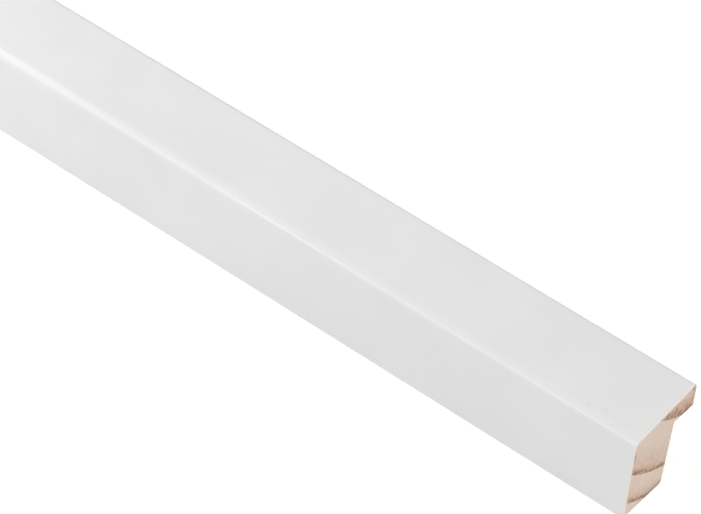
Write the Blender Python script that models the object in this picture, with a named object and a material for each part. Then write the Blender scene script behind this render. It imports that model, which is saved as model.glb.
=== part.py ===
"""A length of picture frame moulding, cut square at both ends.

The stick lies on its back with its face up, as it would on a bench. X runs along it,
the sight edge (the lip that shows around the picture) is at +Y, the outer side at -Y,
and the origin is at the middle of the box around it, on the surface that it lies on.
All sizes are in metres.
"""

import math

import bpy
from mathutils import Matrix, Vector

# The stick
LENGTH = 0.180
FACE_WIDTH = 0.0200
OUTER_HEIGHT = 0.0209
FACE_RISE = 0.0018

# The rabbet under the lip, which takes the glass, the picture and its backing board
RABBET_WIDTH = 0.00635
RABBET_DEPTH = 0.0162
RABBET_WALL_LEAN = 0.0010

# The eased edges that run along the stick, and the cutter's rounding in the rabbet's corner
FRONT_EDGE_RADIUS = 0.0022
SIGHT_EDGE_RADIUS = 0.0015
LIP_EDGE_RADIUS = 0.0004
RABBET_CORNER_RADIUS = 0.0003
BACK_EDGE_RADIUS = 0.0003
FOOT_EDGE_RADIUS = 0.0006
LARGEST_ARC_STEP = math.radians(9)

# White satin paint
PAINT_COLOUR = (0.80, 0.80, 0.79, 1.0)
PAINT_ROUGHNESS = 0.40


def clear_scene():
    """Removes whatever the file opened with."""
    for thing in list(bpy.data.objects):
        bpy.data.objects.remove(thing)


def painted_wood():
    """The finish of the faces that show: white satin paint."""
    material = bpy.data.materials.new("white_satin_paint")
    material.use_nodes = True
    shader = material.node_tree.nodes["Principled BSDF"]
    shader.inputs["Base Color"].default_value = PAINT_COLOUR
    shader.inputs["Roughness"].default_value = PAINT_ROUGHNESS
    shader.inputs["Metallic"].default_value = 0.0
    material.diffuse_color = PAINT_COLOUR
    return material


def profile_corners():
    """The section's corners as (across, up, radius), anticlockwise seen from +X."""
    outer_side = -FACE_WIDTH / 2
    sight_edge = FACE_WIDTH / 2
    rabbet_wall = sight_edge - RABBET_WIDTH
    return [
        (outer_side, 0.0, BACK_EDGE_RADIUS),
        (rabbet_wall - RABBET_WALL_LEAN, 0.0, FOOT_EDGE_RADIUS),
        (rabbet_wall, RABBET_DEPTH, RABBET_CORNER_RADIUS),
        (sight_edge, RABBET_DEPTH, LIP_EDGE_RADIUS),
        (sight_edge, OUTER_HEIGHT + FACE_RISE, SIGHT_EDGE_RADIUS),
        (outer_side, OUTER_HEIGHT, FRONT_EDGE_RADIUS),
    ]


def eased_corner(before, corner, after, radius):
    """The arc that rounds one corner of the section, turning the way that the outline turns."""
    to_before = (before - corner).normalized()
    to_after = (after - corner).normalized()
    half_angle = to_before.angle(to_after) / 2
    centre = corner + (to_before + to_after).normalized() * (radius / math.sin(half_angle))
    spoke = corner + to_before * (radius / math.tan(half_angle)) - centre
    steps = math.ceil((math.pi - 2 * half_angle) / LARGEST_ARC_STEP)
    sweep = math.copysign(math.pi - 2 * half_angle, to_after.cross(to_before))
    return [centre + Matrix.Rotation(sweep * i / steps, 2) @ spoke for i in range(steps + 1)]


def profile_outline():
    """The whole outline of the section, with its eased edges."""
    corners = profile_corners()
    points = [Vector(corner[:2]) for corner in corners]
    outline = []
    for i, (_, _, radius) in enumerate(corners):
        after = points[(i + 1) % len(points)]
        outline += eased_corner(points[i - 1], points[i], after, radius)
    return outline


def make_moulding(collection):
    """The stick: its section drawn flat, drawn out to its length and laid along X."""
    section = bpy.data.curves.new("moulding", "CURVE")
    section.dimensions = "2D"
    section.fill_mode = "BOTH"
    section.extrude = LENGTH / 2
    outline = profile_outline()
    spline = section.splines.new("POLY")
    spline.points.add(len(outline) - 1)
    for point, (across, up) in zip(spline.points, outline):
        point.co = (across, up, 0.0, 1.0)
    spline.use_cyclic_u = True
    section.materials.append(painted_wood())
    moulding = bpy.data.objects.new("moulding", section)
    moulding.rotation_euler = (math.pi / 2, 0.0, math.pi / 2)
    collection.objects.link(moulding)
    return moulding


def main():
    clear_scene()
    collection = bpy.data.collections.new("picture_frame_moulding")
    bpy.context.scene.collection.children.link(collection)
    make_moulding(collection)


main()
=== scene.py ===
# %% [markdown]
# # A length of picture frame moulding
#
# The object is a stick of pine, moulded to an L-shaped section, painted white and then sawn
# square. It lies on its back with its face up. The outer side stands at the front, a soft ridge
# runs between it and the face, and a lip overhangs the rabbet that takes the glass.
#
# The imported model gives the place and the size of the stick. This lesson dresses it: one finer
# mesh, whose sawn ends have a real surface, and four finishes.

# %% Load the frame
import math

import bmesh
import bpy
from mathutils import Matrix, Vector, noise


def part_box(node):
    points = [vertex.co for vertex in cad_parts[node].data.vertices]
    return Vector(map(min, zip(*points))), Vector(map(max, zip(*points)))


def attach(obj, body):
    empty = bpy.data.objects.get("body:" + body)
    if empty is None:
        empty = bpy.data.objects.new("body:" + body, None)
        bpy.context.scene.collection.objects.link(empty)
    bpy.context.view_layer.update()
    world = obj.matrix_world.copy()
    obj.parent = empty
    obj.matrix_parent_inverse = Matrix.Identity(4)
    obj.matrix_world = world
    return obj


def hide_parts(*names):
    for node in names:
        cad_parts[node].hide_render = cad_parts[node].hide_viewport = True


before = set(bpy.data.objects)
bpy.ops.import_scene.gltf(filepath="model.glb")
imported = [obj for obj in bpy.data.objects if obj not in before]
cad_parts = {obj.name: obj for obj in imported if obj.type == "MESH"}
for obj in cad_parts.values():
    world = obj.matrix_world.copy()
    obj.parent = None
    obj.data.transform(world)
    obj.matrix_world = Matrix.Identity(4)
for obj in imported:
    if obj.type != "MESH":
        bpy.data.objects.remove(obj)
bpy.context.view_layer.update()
low, high = (Vector(corner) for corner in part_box("moulding"))
print("The packed stick runs from", tuple(low), "to", tuple(high))

# %% [markdown]
# ## The section
#
# Every moulding starts as a drawing of its end. Six corners are enough here, and each has the
# radius that the cutters and the sanding gave it. The corners could be rounded by hand with
# many points, but it is better to keep them few and let Bevel work out the arcs.

# %% The section's corners
OUTER_HEIGHT = 0.0209
FACE_RISE = 0.0018
RABBET_WIDTH = 0.00635
RABBET_DEPTH = 0.0162
RABBET_WALL_LEAN = 0.0010

outer_side, sight_edge = low.y, high.y
rabbet_wall = sight_edge - RABBET_WIDTH
SECTION = {
    "back edge": (outer_side, 0.0, 0.0003),
    "foot": (rabbet_wall - RABBET_WALL_LEAN, 0.0, 0.0006),
    "rabbet corner": (rabbet_wall, RABBET_DEPTH, 0.0003),
    "lip edge": (sight_edge, RABBET_DEPTH, 0.0004),
    "sight edge": (sight_edge, OUTER_HEIGHT + FACE_RISE, 0.0015),
    "ridge": (outer_side, OUTER_HEIGHT, 0.0022),
}
for name, (across, up, radius) in SECTION.items():
    print(f"{name}: {across * 1000:.2f}, {up * 1000:.2f} mm, radius {radius * 1000:.1f} mm")

# %% [markdown]
# ## The stick
#
# The drawing becomes one face, and Extrude pushes it along X, as the moulder feeds a plank
# past its cutters. A curve with a depth would do the same, but a mesh can go on to take a
# different radius on each edge.

# %% Push the section out to its length
stick = bmesh.new()
drawing = [stick.verts.new((low.x, across, up)) for across, up, _ in SECTION.values()]
first_face = stick.faces.new(drawing)
pushed = bmesh.ops.extrude_face_region(stick, geom=[first_face])
moved = [item for item in pushed["geom"] if isinstance(item, bmesh.types.BMVert)]
bmesh.ops.translate(stick, verts=moved, vec=(high.x - low.x, 0.0, 0.0))
bmesh.ops.recalc_face_normals(stick, faces=stick.faces)
print("The plain stick has", len(stick.faces), "faces and holds", stick.calc_volume() * 1e6, "cm3")

# %% [markdown]
# ## The eased edges
#
# Bevel takes a width along the faces and not a radius. On a corner with half angle h, an arc of
# radius r touches the faces at r / tan(h) from the corner, so that is the width it is given.
# The same line rounds the ridge outwards and fills the rabbet's inner corner.

# %% Round each long edge by its own radius
ARC_STEP = math.radians(7)
HAIR = 1e-6


def runs_along(edge):
    """True for an edge that lies along the stick."""
    start, end = (vert.co for vert in edge.verts)
    return abs(start.x - end.x) > HAIR and (start - end).yz.length < HAIR


def round_edge(name, places):
    """Bevels the long edge at one named corner of the section."""
    across, up, radius = SECTION[name]
    i = places.index((across, up))
    corner = Vector((across, up))
    to_before = (Vector(places[i - 1]) - corner).normalized()
    to_after = (Vector(places[(i + 1) % len(places)]) - corner).normalized()
    half_angle = to_before.angle(to_after) / 2
    edges = [e for e in stick.edges if runs_along(e) and (e.verts[0].co.yz - corner).length < HAIR]
    bmesh.ops.bevel(
        stick,
        geom=edges,
        offset=radius / math.tan(half_angle),
        offset_type="OFFSET",
        segments=math.ceil((math.pi - 2 * half_angle) / ARC_STEP),
        profile=0.5,
        affect="EDGES",
        material=-1,
        clamp_overlap=False,
    )


corner_places = [(across, up) for across, up, _ in SECTION.values()]
for name in SECTION:
    round_edge(name, corner_places)
print("With its edges eased, the stick has", len(stick.faces), "faces")

# %% [markdown]
# ## Painted and bare faces
#
# Mouldings are painted on a line that sprays the sides that show. The back, the rabbet and the
# underside of the lip stay bare. Each face gets the number of its finish now, while there are
# few of them, and every later cut hands the number on.

# %% Number the finishes
PAINT, FILM_EDGE, END_GRAIN, LONG_GRAIN = range(4)
PAINT_WRAP = 0.0002
FACES_UP = 0.05


def finish_of(face):
    """Paint on what the spray reaches, end grain on the cuts and long grain on the rest."""
    centre = face.calc_center_median()
    if abs(face.normal.x) > 0.5:
        return END_GRAIN
    on_outer_side = centre.y < outer_side + PAINT_WRAP
    on_sight_edge = centre.y > sight_edge - PAINT_WRAP
    if face.normal.z > FACES_UP or on_outer_side or on_sight_edge:
        return PAINT
    return LONG_GRAIN


for face in stick.faces:
    face.material_index = finish_of(face)
print("Painted faces:", sum(face.material_index == PAINT for face in stick.faces))

# %% [markdown]
# ## Room for a hand-made surface
#
# A planed and painted face is never quite flat: it rolls by a few hundredths of a millimetre,
# and a satin finish shows that where the light glances off the ridge. The long faces are cut
# into a lattice first, so that there are points to move.

# %% Cut the long faces into a lattice
LATTICE = 0.0015
LONGEST_ACROSS = 0.0016


def cut_evenly(edges, pitch):
    """Divides edges of like length into steps of about one pitch."""
    by_length = {}
    for edge in edges:
        by_length.setdefault(round(edge.calc_length(), 7), []).append(edge)
    for length, alike in by_length.items():
        cuts = math.ceil(length / pitch) - 1
        if cuts > 0:
            bmesh.ops.subdivide_edges(stick, edges=alike, cuts=cuts, use_grid_fill=True)


cut_evenly([e for e in stick.edges if not runs_along(e) and e.calc_length() > LONGEST_ACROSS], LATTICE)
cut_evenly([e for e in stick.edges if runs_along(e)], LATTICE)
print("The lattice has", len(stick.faces), "faces")

# %% [markdown]
# ## A slow roll in the paint
#
# Planing and sanding leave broad shallow hollows. Each point of the painted skin sinks by a
# slow noise, drawn out along the stick as the cutters ran. A bump texture would cost less, but
# it can't bend the outline of the ridge. No point moves along the stick, so the cuts stay flat.

# %% Roll the painted faces a little
ROLL_DEPTH = 0.00005
ROLL_LENGTH = Vector((0.045, 0.012, 0.012))


def dent(vert, depth):
    """Moves a point into the wood, and never along the stick."""
    inwards = Vector((0.0, -vert.normal.y, -vert.normal.z))
    vert.co += inwards.normalized() * depth


stick.normal_update()
painted = [v for v in stick.verts if all(f.material_index in (PAINT, END_GRAIN) for f in v.link_faces)]
rolls = []
for vert in painted:
    place = Vector(c / s for c, s in zip(vert.co, ROLL_LENGTH))
    rolls.append(ROLL_DEPTH * (0.5 + 0.5 * noise.noise(place)))
for vert, depth in zip(painted, rolls):
    dent(vert, depth)
print(f"The paint rolls by up to {max(rolls) * 1e6:.0f} micrometres")

# %% [markdown]
# ## The sawn ends
#
# The cut shows three things at once: the thin edge of the paint, the growth rings and the marks
# of the saw. Inset draws the line between paint and wood. Bisect then lays a fine lattice over
# the wood alone, whose points sink a few hundredths of a millimetre where the spring wood is
# soft and where a tooth has passed.

# %% The tree: where its heart lay, and its rings
PITH = Vector((0.0175, 0.0456))
PITH_DRIFT = 0.012

# Each ring's edge, as its distance from the heart, then how far inside the edge the band, the
# brown and the dark line start, and last how strong the ring is
RINGS = (
    (0.03135, 0.0056, 0.0036, 0.0014, 0.86),
    (0.04320, 0.0020, 0.0014, 0.0006, 1.00),
    (0.04970, 0.0015, 0.0010, 0.0005, 1.00),
    (0.05570, 0.0014, 0.0009, 0.0004, 1.00),
)


def smooth(value, start, end):
    """0 before start, 1 after end, and a soft step between them."""
    share = min(max((value - start) / (end - start), 0.0), 1.0)
    return share * share * (3 - 2 * share)


def ring_radius(place):
    """How far a point is from the heart, which wanders a little along the stick."""
    across = place.y - PITH.x + PITH_DRIFT * (high.x - place.x)
    return math.hypot(across, place.z - PITH.y)


def latewood(place):
    """1 in the dark hard wood at the end of a year's growth, 0 in the light soft wood."""
    radius = ring_radius(place)
    for edge, band, *_ in RINGS:
        if radius < edge:
            return smooth(radius, edge - band, edge)
    return 0.0


print("The rings lie", [round(edge * 1000, 1) for edge, *_ in RINGS], "mm from the heart")

# %% [markdown]
# ## The edge of the paint
#
# Where the saw went through the coat, primer and paint show as a thin pale rim. Inset draws the
# rim at one even width. Only the stretch beside painted faces is marked as paint, because the
# back and the rabbet have no coat. A texture could draw it too, but would have to be lined up.

# %% Draw the rim
FILM = 0.00055


def end_face(x):
    """The one flat face that closes the stick at x."""
    caps = [face for face in stick.faces if face.material_index == END_GRAIN]
    return next(cap for cap in caps if abs(cap.calc_center_median().x - x) < HAIR)


def draw_film(cap):
    """Insets the cut end, and marks the rim that the paint's own thickness makes."""
    rim = bmesh.ops.inset_region(stick, faces=[cap], thickness=FILM, use_even_offset=True, use_boundary=True)
    for face in rim["faces"]:
        beside = [other for edge in face.edges for other in edge.link_faces if other is not face]
        if any(other.material_index == PAINT for other in beside):
            face.material_index = FILM_EDGE


ends = [end_face(low.x), end_face(high.x)]
for cap in ends:
    draw_film(cap)
print("The rim of paint is", FILM * 1000, "mm wide, primer and all")

# %% [markdown]
# ## A fine lattice on the wood
#
# Sawn wood has relief finer than a millimetre, so its face needs points a fifth of that apart.
# Bisect cuts it plane by plane, across and then up. Subdivide would follow the outline and
# leave long thin faces, while these cuts stay square all over.

# %% Cut the sawn faces into small squares
GRAIN_PITCH = 0.00020


def everything_in(faces):
    """The faces with their edges and points, as Bisect wants them."""
    edges = {edge for face in faces for edge in face.edges}
    verts = {vert for face in faces for vert in face.verts}
    return [*verts, *edges, *faces]


def cut_lattice(cap):
    """Cuts one end into small squares, across and then up. Returns its faces."""
    x = cap.calc_center_median().x
    faces = [cap]
    for direction in (Vector((0, 1, 0)), Vector((0, 0, 1))):
        start, end = low.dot(direction), high.dot(direction)
        count = math.ceil((end - start) / GRAIN_PITCH)
        for i in range(1, count):
            place = Vector((x, 0, 0)) + direction * (start + (end - start) * i / count)
            cut = bmesh.ops.bisect_plane(
                stick, geom=everything_in(faces), dist=HAIR / 4, plane_co=place, plane_no=direction
            )
            faces = [item for item in cut["geom"] if isinstance(item, bmesh.types.BMFace)]
    return faces


grain = [cut_lattice(cap) for cap in ends]
print("The sawn ends have", [len(faces) for faces in grain], "small faces")

# %% [markdown]
# ## Saw marks and soft wood
#
# A round blade leaves shallow arcs about its own centre, and the soft spring wood tears lower
# than the hard rings. Both are depths worked out from a point's place, so each point moves by
# their sum. Sculpting by hand could look as good, but it would not follow the rings.

# %% Sink the sawn faces
SAW_CENTRE = Vector((-0.055, -0.080))
TOOTH_PITCH = 0.00075
TOOTH_DEPTH = 0.000022
TOOTH_CHANGE = 0.35
TOOTH_EVENNESS = 0.6
ENDS_APART = 100
SOFT_DEPTH = 0.000035
FIBRE_DEPTH = 0.000016
FIBRE_SCALE = 2600
RAGGED = 0.00007
RAGGED_SCALE = 1900


def tooth_mark(place):
    """How deep the saw's teeth cut here: arcs about the blade's centre, some deeper."""
    turn = (place.yz - SAW_CENTRE).length / TOOTH_PITCH
    deeper = noise.noise(Vector((turn * TOOTH_CHANGE, 0.0, place.x * ENDS_APART)))
    return TOOTH_DEPTH * (0.5 + 0.5 * math.sin(math.tau * turn)) * (TOOTH_EVENNESS + deeper)


def sunk(place):
    """How far the cut lies below a perfect one."""
    fibre = FIBRE_DEPTH * (0.5 + 0.5 * noise.noise(place * FIBRE_SCALE))
    return tooth_mark(place) + SOFT_DEPTH * (1 - latewood(place)) + fibre


for faces in grain:
    wood = {vert for face in faces for vert in face.verts}
    inwards = -math.copysign(1.0, faces[0].calc_center_median().x)
    for vert in wood:
        if any(face.material_index == FILM_EDGE for face in vert.link_faces):
            vert.co += Vector((0.0, *noise.noise_vector(vert.co * RAGGED_SCALE).yz)) * RAGGED
        else:
            vert.co.x += inwards * sunk(vert.co)
deepest = TOOTH_DEPTH * (TOOTH_EVENNESS + 1) + SOFT_DEPTH + FIBRE_DEPTH
print("The sawn faces sink by at most", deepest * 1000, "mm")

# %% [markdown]
# ## One piece
#
# A moulding is one solid, so the mesh stays one object. It takes the place of the imported solid
# and rides on its body. Smooth shading runs over the arcs, and
# every edge sharper than a set angle stays crisp.

# %% Make the object
CRISP = math.radians(32)

bmesh.ops.recalc_face_normals(stick, faces=stick.faces)
mesh = bpy.data.meshes.new("painted_moulding")
stick.to_mesh(mesh)
volume = stick.calc_volume()
stick.free()
mesh.shade_smooth()
mesh.set_sharp_from_angle(angle=CRISP)
moulding = bpy.data.objects.new("painted_moulding", mesh)
bpy.context.scene.collection.objects.link(moulding)
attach(moulding, "root")
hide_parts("moulding")
print(f"The finished stick has {len(mesh.polygons)} faces and holds {volume * 1e6:.2f} cm3")

# %% [markdown]
# ## Nodes in few words
#
# The finishes are node trees. Short helpers keep them readable: they add a node and link what
# it is given, do a sum, draw a soft step or a cloud of noise, mix two colours, and start a
# group with named sockets.

# %% Helpers for node trees


def add(tree, kind, inputs=None, **settings):
    """Adds a node. inputs holds a value, or a socket to link, for each named or numbered input."""
    node = tree.nodes.new(kind)
    for key, value in settings.items():
        setattr(node, key, value)
    for key, value in (inputs or {}).items():
        if isinstance(value, bpy.types.NodeSocket):
            tree.links.new(value, node.inputs[key])
        else:
            node.inputs[key].default_value = value
    return node


def sum_of(tree, operation, *values):
    """A Math node's answer."""
    return add(tree, "ShaderNodeMath", dict(enumerate(values)), operation=operation).outputs[0]


def step(tree, value, start, end, bottom=0.0, top=1.0):
    """A soft step from bottom to top as value goes from start to end."""
    inputs = {"Value": value, "From Min": start, "From Max": end, "To Min": bottom, "To Max": top}
    node = add(tree, "ShaderNodeMapRange", inputs, interpolation_type="SMOOTHSTEP")
    return node.outputs["Result"]


def step_linear(tree, value, start, end):
    """The share of the way from start to end."""
    inputs = {"Value": value, "From Min": start, "From Max": end}
    return add(tree, "ShaderNodeMapRange", inputs).outputs["Result"]


def blend(tree, share, first, second, how="MIX"):
    """Mixes two colours."""
    node = add(tree, "ShaderNodeMix", data_type="RGBA", blend_type=how)
    for socket, value in zip((node.inputs[0], node.inputs[6], node.inputs[7]), (share, first, second)):
        if isinstance(value, bpy.types.NodeSocket):
            tree.links.new(value, socket)
        else:
            socket.default_value = value
    return node.outputs[2]


def cloud(tree, vector, scale, detail=2.0, roughness=0.5):
    """A noise texture's value."""
    inputs = {"Vector": vector, "Scale": scale, "Detail": detail, "Roughness": roughness}
    return add(tree, "ShaderNodeTexNoise", inputs).outputs[0]


def stretched(tree, place, scale):
    """The place with each axis scaled, to draw a pattern out along the grain."""
    node = add(tree, "ShaderNodeVectorMath", {0: place, 1: scale}, operation="MULTIPLY")
    return node.outputs[0]


def start_group(name, inputs, outputs):
    """A shader node group with named sockets. inputs maps a name to its usual value."""
    tree = bpy.data.node_groups.new(name, "ShaderNodeTree")
    for label, value in inputs.items():
        socket = tree.interface.new_socket(label, in_out="INPUT", socket_type="NodeSocketFloat")
        socket.default_value = value
    for label in outputs:
        tree.interface.new_socket(label, in_out="OUTPUT", socket_type="NodeSocketFloat")
    return tree, tree.nodes.new("NodeGroupInput"), tree.nodes.new("NodeGroupOutput")


def use_group(tree, group, **values):
    """Places a group in a material with its own values."""
    node = add(tree, "ShaderNodeGroup", node_tree=group)
    for label, value in values.items():
        node.inputs[label.replace("_", " ")].default_value = value
    return node


def object_place(tree):
    """The point being shaded, in metres in the stick's own frame."""
    return tree.nodes.new("ShaderNodeTexCoord").outputs["Object"]


def hue(red, green, blue):
    """A colour given as it looks on a screen, 0 to 255, turned into the shader's linear one."""
    linear = (((c / 255 + 0.055) / 1.055) ** 2.4 for c in (red, green, blue))
    return (*linear, 1.0)


print("Helpers ready")

# %% [markdown]
# ## The growth rings, through and through
#
# End grain and long grain are two views of the same tree. So the rings are drawn in space,
# about a heart that runs almost along the stick, and every bare face is a cut through them: the
# ring that meets the foot of the rabbet at the end goes on as a line down the rabbet's wall.

# %% The group of growth rings
RING_START, RING_END = 0.020, 0.058
YEAR_STEP = 0.00012
SLOW_YEAR = ((0.42, 0.04), (0.66, 0.22))
BAND_START, BROWN, DARKEST = 0.34, 0.50, 1.0
RING_WAVES = ((260.0, 0.0003), (1100.0, 0.00042))
WAVE_STRETCH = (0.12, 1.0, 1.0)


def ring_stops():
    """The ramp from the heart outwards: each year darkens slowly and then ends at once."""
    stops = [(RING_START, 0.0)]
    year_start = RING_START
    for edge, band, brown, line, strength in RINGS:
        year = [(year_start + (edge - year_start) * share, dark) for share, dark in SLOW_YEAR]
        year += [(edge - band, BAND_START), (edge - brown, BROWN), (edge - line, DARKEST), (edge, DARKEST)]
        stops += [(radius, dark * strength) for radius, dark in year]
        stops += [(edge + YEAR_STEP, 0.0)]
        year_start = edge
    return [((radius - RING_START) / (RING_END - RING_START), dark) for radius, dark in stops]


def growth_rings():
    """Outputs how dark the year's wood is here."""
    tree, given, result = start_group("growth rings", {"Wobble": 1.0}, ("Latewood",))
    place = object_place(tree)
    axes = add(tree, "ShaderNodeSeparateXYZ", {0: place})
    run = sum_of(tree, "SUBTRACT", high.x, axes.outputs["X"])
    drift = sum_of(tree, "MULTIPLY", run, PITH_DRIFT)
    across = sum_of(tree, "ADD", sum_of(tree, "SUBTRACT", axes.outputs["Y"], PITH.x), drift)
    up = sum_of(tree, "SUBTRACT", axes.outputs["Z"], PITH.y)
    spoke = add(tree, "ShaderNodeCombineXYZ", {"Y": across, "Z": up}).outputs[0]
    radius = add(tree, "ShaderNodeVectorMath", {0: spoke}, operation="LENGTH").outputs["Value"]
    for scale, depth in RING_WAVES:
        wave = cloud(tree, stretched(tree, place, WAVE_STRETCH), scale)
        wave = sum_of(tree, "MULTIPLY", sum_of(tree, "SUBTRACT", wave, 0.5), depth)
        wave = sum_of(tree, "MULTIPLY", wave, given.outputs["Wobble"])
        radius = sum_of(tree, "ADD", radius, wave)
    share = step_linear(tree, radius, RING_START, RING_END)
    ramp = add(tree, "ShaderNodeValToRGB", {0: share})
    elements = ramp.color_ramp.elements
    for position, dark in ring_stops():
        if position == 0.0:
            elements[0].color = (dark, dark, dark, 1.0)
        else:
            elements.new(position).color = (dark, dark, dark, 1.0)
    elements[-1].color = (0.0, 0.0, 0.0, 1.0)
    tree.links.new(ramp.outputs["Color"], result.inputs["Latewood"])
    return tree


rings = growth_rings()
print("The rings' ramp has", len(ring_stops()) + 1, "stops")

# %% [markdown]
# ## Fibres
#
# Along the grain, pine shows fine streaks, with the short dark dashes of resin canals among
# them. Both are noise drawn out along the stick. They are a shared group, because the bare wood
# shows them as colour and relief, and the paint as relief alone.

# %% The group of fibres
STREAK_SCALE = 2200.0
CANAL_SCALE = 3100.0
CANALS_FROM = (0.73, 0.80)


def wood_fibres():
    """Outputs the streaks of the fibres, and the resin canals among them."""
    tree, given, result = start_group("wood fibres", {"Drawn Out": 0.02}, ("Streaks", "Canals"))
    place = object_place(tree)
    along = add(tree, "ShaderNodeCombineXYZ", {"X": given.outputs["Drawn Out"], "Y": 1.0, "Z": 1.0})
    drawn = stretched(tree, place, along.outputs[0])
    streaks = cloud(tree, drawn, STREAK_SCALE, detail=4.0, roughness=0.6)
    tree.links.new(streaks, result.inputs["Streaks"])
    spots = cloud(tree, drawn, CANAL_SCALE, detail=0.0)
    tree.links.new(step(tree, spots, *CANALS_FROM), result.inputs["Canals"])
    return tree


fibres = wood_fibres()
print("Fibres ready")

# %% [markdown]
# ## Handling marks
#
# No finish has one even tone. Hands, dust and daylight leave faint clouds on a stick on its way
# from the rack to the bench. One slow noise does for every finish, each with its own size of
# cloud. A photograph of real dirt would be richer, but would repeat along the stick.

# %% The group of handling marks


def handling_marks():
    """Outputs slow clouds over the finish."""
    tree, given, result = start_group("handling marks", {"Cloud Size": 0.015}, ("Clouds",))
    scale = sum_of(tree, "DIVIDE", 1.0, given.outputs["Cloud Size"])
    inputs = {"Vector": object_place(tree), "Scale": scale, "Detail": 3.0}
    clouds = add(tree, "ShaderNodeTexNoise", inputs)
    tree.links.new(clouds.outputs[0], result.inputs["Clouds"])
    return tree


marks = handling_marks()
print("Handling marks ready")

# %% [markdown]
# ## White satin paint
#
# Sprayed paint levels almost flat. What is left is a fine stipple, the grain that telegraphs
# through as long low streaks, and a sheen that changes a little from place to place. The
# colour itself is a plain near-white, so all of this stays faint. A few smudges sit where the
# stick was held.

# %% The paint

# Each smudge's middle, its radius and its strength
SMUDGES = (
    ((0.0809, -0.0070, 0.0212), 0.0014, 0.060),
    ((0.0776, -0.0079, 0.0211), 0.0008, 0.070),
    ((0.0852, 0.0006, 0.0219), 0.0015, 0.035),
    ((0.0435, -0.0100, 0.0147), 0.0012, 0.035),
    ((0.0382, -0.0100, 0.0040), 0.0009, 0.045),
    ((0.0114, -0.0055, 0.0213), 0.0012, 0.030),
)
PAINT_WHITE = (0.775, 0.775, 0.772, 1.0)
PAINT_SHADE = (0.755, 0.755, 0.754, 1.0)
SMUDGE_GREY = (0.30, 0.29, 0.30, 1.0)
TONE_CLOUDS = (0.35, 0.65)
SHEEN_CLOUDS = (0.3, 0.7)
PAINT_SHEEN = (0.29, 0.33)
STIPPLE_SCALE = 1400.0
STREAKS_SHOW = 0.6
PAINT_RELIEF = 0.000006


def new_material(name, roughness):
    """An empty material with its shader's plain values set."""
    material = bpy.data.materials.new(name)
    material.use_nodes = True
    tree = material.node_tree
    shader = tree.nodes["Principled BSDF"]
    shader.inputs["Roughness"].default_value = roughness
    shader.inputs["Metallic"].default_value = 0.0
    return material, tree, shader


def bumped(tree, shader, height, distance):
    """Gives the shader a bump of so many metres."""
    bump = add(tree, "ShaderNodeBump", {"Height": height, "Distance": distance, "Strength": 1.0})
    tree.links.new(bump.outputs["Normal"], shader.inputs["Normal"])


def smudge_mask(tree, place):
    """All the smudges: each a soft ball about its own place."""
    total = 0.0
    for middle, radius, strength in SMUDGES:
        away = add(tree, "ShaderNodeVectorMath", {0: place, 1: middle}, operation="DISTANCE").outputs["Value"]
        one = step(tree, away, radius, 0.0, 0.0, strength)
        total = sum_of(tree, "ADD", total, one)
    return total


def white_paint():
    """Sprayed satin paint, with faint clouds, smudges and stipple."""
    material, tree, shader = new_material("white satin paint", 0.30)
    place = object_place(tree)
    mark = use_group(tree, marks, Cloud_Size=0.018)
    fibre = use_group(tree, fibres, Drawn_Out=0.015)
    tone = step(tree, mark.outputs["Clouds"], *TONE_CLOUDS)
    colour = blend(tree, tone, PAINT_WHITE, PAINT_SHADE)
    colour = blend(tree, smudge_mask(tree, place), colour, SMUDGE_GREY)
    tree.links.new(colour, shader.inputs["Base Color"])
    sheen = step(tree, mark.outputs["Clouds"], *SHEEN_CLOUDS, *PAINT_SHEEN)
    tree.links.new(sheen, shader.inputs["Roughness"])
    stipple = cloud(tree, place, STIPPLE_SCALE, detail=1.0)
    height = sum_of(tree, "MULTIPLY_ADD", fibre.outputs["Streaks"], STREAKS_SHOW, stipple)
    bumped(tree, shader, height, PAINT_RELIEF)
    return material


paint = white_paint()
print("Paint ready, with", len(SMUDGES), "smudges")

# %% [markdown]
# ## The sawn edge of the paint
#
# Cut through, primer and paint are chalky. They are whitest under the face, and darken to a
# pinkish tan at the sight edge. The colours blend by place along the rim, up the outer side and
# across to the sight edge, which leaves no seams and needs no texture.

# %% The finish of the rim
FILM_PINK = hue(244, 236, 232)
FILM_WHITE = hue(246, 243, 240)
FILM_SIDE = hue(236, 227, 221)
FILM_TAN = hue(206, 176, 158)
FILM_TURN = (0.0180, 0.0205)
THIN_FROM = 0.0090


def paint_edge():
    """Primer and paint cut through: whitest under the face, and a darker tan at the sight edge."""
    material, tree, shader = new_material("sawn edge of the paint", 0.7)
    axes = add(tree, "ShaderNodeSeparateXYZ", {0: object_place(tree)})
    mark = use_group(tree, marks, Cloud_Size=0.0012)
    under_face = blend(tree, mark.outputs["Clouds"], FILM_PINK, FILM_WHITE)
    colour = blend(tree, step(tree, axes.outputs["Z"], *FILM_TURN), FILM_SIDE, under_face)
    at_sight_edge = step(tree, axes.outputs["Y"], THIN_FROM, sight_edge - FILM)
    tree.links.new(blend(tree, at_sight_edge, colour, FILM_TAN), shader.inputs["Base Color"])
    return material


film_edge = paint_edge()
print("Paint edge ready")

# %% [markdown]
# ## Bare pine
#
# Cut across, pine is pinkish tan with brown rings and a fine speckle of cells. Cut along, it is
# lighter and yellower, with the same rings as long lines. Both finishes ask the one group where
# the rings are, so they agree along every edge.

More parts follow.
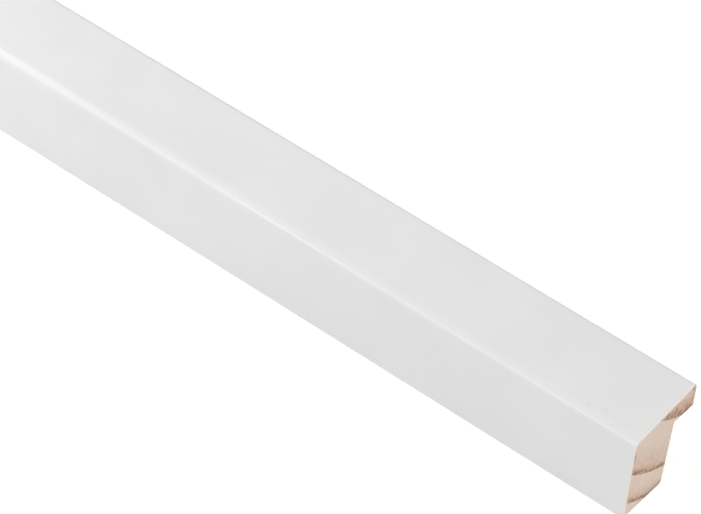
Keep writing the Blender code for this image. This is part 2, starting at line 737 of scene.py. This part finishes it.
# %% End grain
END_LIGHT = hue(225, 207, 192)
END_PINK = hue(223, 202, 186)
END_WARM = hue(202, 164, 138)
END_DARK = hue(150, 118, 94)
SOAK_DEPTH = 0.0021
SOAK_SIDE = 0.0015
SOAK_STRENGTH = 0.75
SOAK_RAGGED = 0.0005
SOAK_SCALE = 1500.0
MOTTLE_SCALE = 1250.0
MOTTLE = (0.38, 0.64, 0.62, 1.25)
WARM_AT = 0.62
CELL_SCALE = 5200.0
SPECKLE = (0.2, 0.8, 0.90, 1.06)
CELL_RELIEF = 0.00003
STAIN_SCALE = 1800.0
STAIN_RAGGED = 0.6
STAIN_FADE = (1.3, 0.3)

# Each stain's middle and its reach, both across and up the cut, then its colour and strength
NEAR_STAINS = (
    ("brown streak", (-0.0090, 0.0163), (0.0005, 0.0028), hue(178, 138, 120), 0.90),
    # These two darken the cut along the sight edge and at its top corner.
    ("dark spot at the sight corner", (0.0093, 0.0213), (0.0008, 0.0009), hue(128, 92, 74), 0.85),
    ("dark line along the sight edge", (0.0095, 0.0192), (0.0004, 0.0024), hue(166, 128, 108), 0.75),
    ("brown lip edge", (0.0076, 0.0167), (0.0030, 0.0008), hue(140, 108, 88), 0.85),
    ("knot of the dark ring", (0.0004, 0.0203), (0.0006, 0.0005), hue(150, 122, 104), 0.70),
    ("resin", (0.0078, 0.0187), (0.0006, 0.0007), hue(228, 198, 148), 0.60),
    # This one darkens the cut to a grey-green along its foot.
    ("grey-green along the foot", (0.0004, 0.0002), (0.0060, 0.0018), hue(166, 151, 128), 0.85),
)


def soaked(tree, place):
    """Where the primer has soaked into the wood: deep below the face, less so at the outer side."""
    axes = add(tree, "ShaderNodeSeparateXYZ", {0: place})
    from_outer = sum_of(tree, "SUBTRACT", axes.outputs["Y"], outer_side)
    face_slope = FACE_RISE / (sight_edge - outer_side)
    face_above = sum_of(tree, "MULTIPLY_ADD", from_outer, face_slope, OUTER_HEIGHT)
    below_face = sum_of(tree, "SUBTRACT", face_above, axes.outputs["Z"])
    ragged = sum_of(tree, "MULTIPLY", cloud(tree, place, SOAK_SCALE), SOAK_RAGGED)
    deep = step(tree, sum_of(tree, "ADD", below_face, ragged), SOAK_DEPTH, FILM, 0.0, SOAK_STRENGTH)
    side = step(tree, sum_of(tree, "ADD", from_outer, ragged), SOAK_SIDE, FILM, 0.0, SOAK_STRENGTH)
    return sum_of(tree, "MAXIMUM", deep, side)


def end_stain(tree, place, middle, reach):
    """A soft oval on the near end, from its middle and its reach across and up."""
    across, up = reach
    scale = (1.0 / across, 1.0 / across, 1.0 / up)
    middle = (high.x / across, middle[0] / across, middle[1] / up)
    inputs = {0: stretched(tree, place, scale), 1: middle}
    away = add(tree, "ShaderNodeVectorMath", inputs, operation="DISTANCE").outputs["Value"]
    ragged = sum_of(tree, "MULTIPLY_ADD", cloud(tree, place, STAIN_SCALE), STAIN_RAGGED, away)
    return step(tree, ragged, *STAIN_FADE)


def end_grain():
    """Pine cut across: mottled rings, primer soaked in below the face, stains and cells."""
    material, tree, shader = new_material("pine end grain", 0.75)
    place = object_place(tree)
    ring = use_group(tree, rings, Wobble=1.0)
    mark = use_group(tree, marks, Cloud_Size=0.004)
    light = blend(tree, step(tree, mark.outputs["Clouds"], *TONE_CLOUDS), END_LIGHT, END_PINK)
    mottle = step(tree, cloud(tree, place, MOTTLE_SCALE, detail=3.0), *MOTTLE)
    late = sum_of(tree, "MULTIPLY", ring.outputs["Latewood"], mottle)
    colour = blend(tree, step_linear(tree, late, 0.0, WARM_AT), light, END_WARM)
    colour = blend(tree, step_linear(tree, late, WARM_AT, 1.0), colour, END_DARK)
    colour = blend(tree, soaked(tree, place), colour, FILM_PINK)
    for _, middle, reach, stain, strength in NEAR_STAINS:
        mask = sum_of(tree, "MULTIPLY", end_stain(tree, place, middle, reach), strength)
        colour = blend(tree, mask, colour, stain)
    cells = cloud(tree, place, CELL_SCALE, detail=2.0)
    speckle = step(tree, cells, *SPECKLE)
    grey = add(tree, "ShaderNodeCombineColor", {0: speckle, 1: speckle, 2: speckle}).outputs[0]
    colour = blend(tree, 1.0, colour, grey, "MULTIPLY")
    tree.links.new(colour, shader.inputs["Base Color"])
    bumped(tree, shader, cells, CELL_RELIEF)
    return material


end_wood = end_grain()
print("End grain ready, with", len(NEAR_STAINS), "stains on the near end")

# %% [markdown]
# ## Long grain
#
# The back and the rabbet were planed along the fibres, so the rings become long lines with fine
# streaks between. A mist of paint creeps round the outer edges, as it does on a spray line. Its
# edge is a distance from the paint with noise added, so no mask has to be painted.

# %% The finish along the grain
LONG_LIGHT = hue(228, 205, 172)
LONG_STREAK = hue(214, 186, 150)
LONG_DARK = hue(186, 140, 98)
CANAL_BROWN = hue(150, 108, 72)
CANALS_SHOW = 0.55
BARE_ROUGHNESS, MIST_ROUGHNESS = 0.62, 0.45
STREAK_TONES = (0.3, 0.7)
STREAK_RELIEF = 0.00004
MIST_FADE = (0.0013, 0.0001)
MIST_SCALE = 1600.0
MIST_STRETCH = (0.35, 1.0, 1.0)
MIST_RAGGED = 0.0016


def overspray(tree, place):
    """The mist of paint that creeps round on to the back and under the lip."""
    axes = add(tree, "ShaderNodeSeparateXYZ", {0: place})
    from_outer = sum_of(tree, "SUBTRACT", axes.outputs["Y"], outer_side)
    from_sight = sum_of(tree, "SUBTRACT", sight_edge, axes.outputs["Y"])
    nearest = sum_of(tree, "MINIMUM", from_outer, from_sight)
    evened = sum_of(tree, "SUBTRACT", nearest, MIST_RAGGED / 2)
    ragged = cloud(tree, stretched(tree, place, MIST_STRETCH), MIST_SCALE, detail=4.0)
    ragged = sum_of(tree, "MULTIPLY_ADD", ragged, MIST_RAGGED, evened)
    return step(tree, ragged, *MIST_FADE)


def long_grain():
    """Pine planed along the grain: lines, streaks and canals under a mist of paint."""
    material, tree, shader = new_material("bare pine along the grain", BARE_ROUGHNESS)
    place = object_place(tree)
    ring = use_group(tree, rings, Wobble=1.6)
    fibre = use_group(tree, fibres, Drawn_Out=0.022)
    light = blend(tree, step(tree, fibre.outputs["Streaks"], *STREAK_TONES), LONG_LIGHT, LONG_STREAK)
    colour = blend(tree, ring.outputs["Latewood"], light, LONG_DARK)
    canals = sum_of(tree, "MULTIPLY", fibre.outputs["Canals"], CANALS_SHOW)
    colour = blend(tree, canals, colour, CANAL_BROWN)
    mist = overspray(tree, place)
    colour = blend(tree, mist, colour, PAINT_WHITE)
    tree.links.new(colour, shader.inputs["Base Color"])
    sheen = step(tree, mist, 0.0, 1.0, BARE_ROUGHNESS, MIST_ROUGHNESS)
    tree.links.new(sheen, shader.inputs["Roughness"])
    bumped(tree, shader, fibre.outputs["Streaks"], STREAK_RELIEF)
    return material


long_wood = long_grain()
FINISHES = {PAINT: paint, FILM_EDGE: film_edge, END_GRAIN: end_wood, LONG_GRAIN: long_wood}
for number in sorted(FINISHES):
    mesh.materials.append(FINISHES[number])
print("Finishes:", [material.name for material in mesh.materials])

# %% [markdown]
# ## The stage
#
# The photograph's ground is white to the edge of the clip, as on a lit white table. A plane
# that glows does the same here, and its light fills the side of the stick from below. The glow
# is lower near the stick, where the lamps add to it, and rises with distance. A backdrop lit by
# lamps alone would need far more of them to stay white.

# %% Floor and room light
FLOOR_SIZE = 40.0
FLOOR_GAP = 0.0001
FLOOR_GLOW, FAR_GLOW = 0.665, 0.92
GLOW_RISES = (0.35, 1.2)
FLOOR_GREY = (0.42, 0.42, 0.42, 1.0)
WHITE = (1.0, 1.0, 1.0, 1.0)
ROOM_LIGHT = 0.18


def lit_table():
    """A matt ground whose glow rises with its distance from the stick."""
    material, tree, shader = new_material("lit white table", 0.9)
    shader.inputs["Base Color"].default_value = FLOOR_GREY
    shader.inputs["Specular IOR Level"].default_value = 0.0
    shader.inputs["Emission Color"].default_value = WHITE
    length = add(tree, "ShaderNodeVectorMath", {0: object_place(tree)}, operation="LENGTH")
    glow = step(tree, length.outputs["Value"], *GLOW_RISES, FLOOR_GLOW, FAR_GLOW)
    tree.links.new(glow, shader.inputs["Emission Strength"])
    return material


table = bmesh.new()
bmesh.ops.create_grid(table, x_segments=1, y_segments=1, size=FLOOR_SIZE / 2)
bmesh.ops.translate(table, verts=table.verts, vec=(0.0, 0.0, low.z - FLOOR_GAP))
floor_mesh = bpy.data.meshes.new("floor")
table.to_mesh(floor_mesh)
table.free()
floor_mesh.materials.append(lit_table())
floor = bpy.data.objects.new("floor", floor_mesh)
bpy.context.scene.collection.objects.link(floor)

world = bpy.data.worlds.new("white room")
world.use_nodes = True
background = world.node_tree.nodes["Background"]
background.inputs["Color"].default_value = WHITE
background.inputs["Strength"].default_value = ROOM_LIGHT
bpy.context.scene.world = world
print("Floor ready")

# %% [markdown]
# ## Soft lights
#
# The photograph's light is soft and comes from several sides, with one bright line along the
# ridge. Each lamp is a disc that looks at the stick from its place on a sphere around it. A
# picture of a room would give richer reflections, but five discs can be tuned one at a time.

# %% Place the lamps
LAMP_TARGET = (0.0, 0.0, 0.01)

# Each lamp's turn round the stick and its height in degrees, its distance, width and watts
LAMPS = {
    "near window on the left": (-75.0, 33.0, 0.45, 0.30, 0.97),
    "ridge light, far half": (-32.0, 27.0, 0.90, 0.20, 0.80),
    "ridge light, near half": (-13.0, 27.0, 0.90, 0.20, 0.72),
    "wide light on the right": (90.0, 60.0, 0.90, 0.90, 5.7),
    "light from behind": (180.0, 30.0, 0.90, 0.90, 0.6),
}


def aim(place, target):
    """The turn that points a lamp's -Z at the target."""
    return (Vector(target) - Vector(place)).to_track_quat("-Z", "Y")


for name, (round_it, above_it, away, width, watts) in LAMPS.items():
    swing = Matrix.Rotation(math.radians(round_it), 3, "Z") @ Matrix.Rotation(math.radians(-above_it), 3, "X")
    place = swing @ Vector((0.0, -away, 0.0))
    light = bpy.data.lights.new(name, "AREA")
    light.shape = "DISK"
    light.size = width
    light.energy = watts
    lamp = bpy.data.objects.new(name, light)
    lamp.matrix_world = Matrix.LocRotScale(place, aim(place, LAMP_TARGET), None)
    bpy.context.scene.collection.objects.link(lamp)
    print(f"{name}: {watts} W from", [round(c, 2) for c in place])

# %% [markdown]
# ## The camera
#
# The photograph's long edges and its cut end fix the camera: their lines were measured and a
# camera was fitted to them. It stands to the right of the near end, looks down by 44 degrees,
# and is rolled a little.

# %% The photograph's camera
CAMERA_PLACE = (0.3142, -0.4275, 0.5169)
CAMERA_TURN = math.radians(35.06)
CAMERA_DOWN = math.radians(44.01)
CAMERA_ROLL = math.radians(5.45)
CAMERA_LENS = 187.8

turn = Matrix.Rotation(CAMERA_TURN, 4, "Z")
tip = Matrix.Rotation(math.pi / 2 - CAMERA_DOWN, 4, "X")
roll = Matrix.Rotation(CAMERA_ROLL, 4, "Z")
lens = bpy.data.cameras.new("camera")
lens.lens = CAMERA_LENS
lens.sensor_width = 36.0
lens.sensor_fit = "HORIZONTAL"
lens.clip_start = 0.01
camera = bpy.data.objects.new("camera", lens)
camera.matrix_world = Matrix.Translation(CAMERA_PLACE) @ turn @ tip @ roll
bpy.context.scene.collection.objects.link(camera)
bpy.context.scene.camera = camera
bpy.context.scene.view_settings.view_transform = "Standard"
print("Camera at", CAMERA_PLACE)
